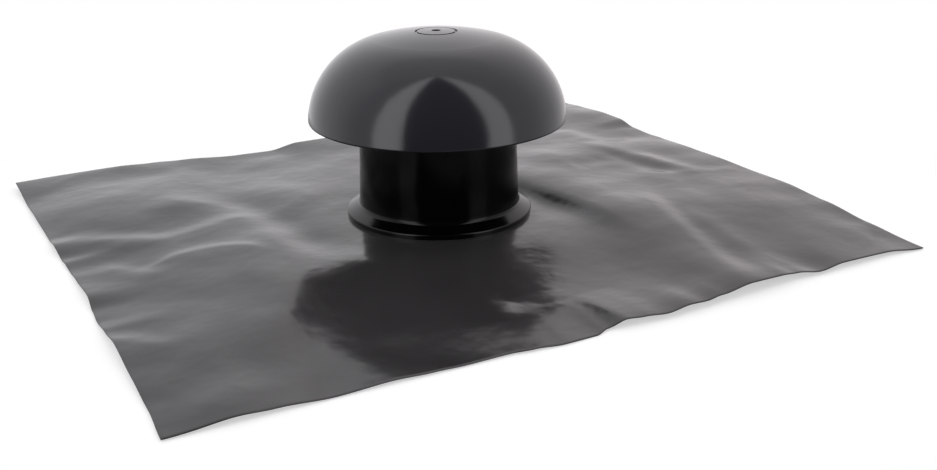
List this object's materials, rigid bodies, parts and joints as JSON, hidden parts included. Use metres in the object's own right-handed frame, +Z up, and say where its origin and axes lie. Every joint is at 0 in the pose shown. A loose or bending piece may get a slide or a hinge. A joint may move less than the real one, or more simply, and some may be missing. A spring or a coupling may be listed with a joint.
{
  "type": "roof vent cap",
  "caption": "Domed roof vent cap on a short flanged duct sleeve, bonded to a soft wavy flashing sheet; lets duct air out and keeps rain off.",
  "frame": {"origin": "middle of the duct socket's mouth, level with the ground that the part stands on", "axes": "+Z up along the sleeve, +X along the long side of the flashing sheet, +Y along its short side"},
  "size_m": [0.482, 0.418, 0.1287],
  "materials": {
    "cap": "satin-gloss anthracite moulding",
    "sleeve": "glossy black moulding",
    "flashing_sheet": "smooth black elastomer sheet with a soft gloss"
  },
  "bodies": {
    "root": {"cap": "cap", "sleeve": "sleeve", "flashing_sheet": "flashing_sheet"}
  },
  "joints": []
}
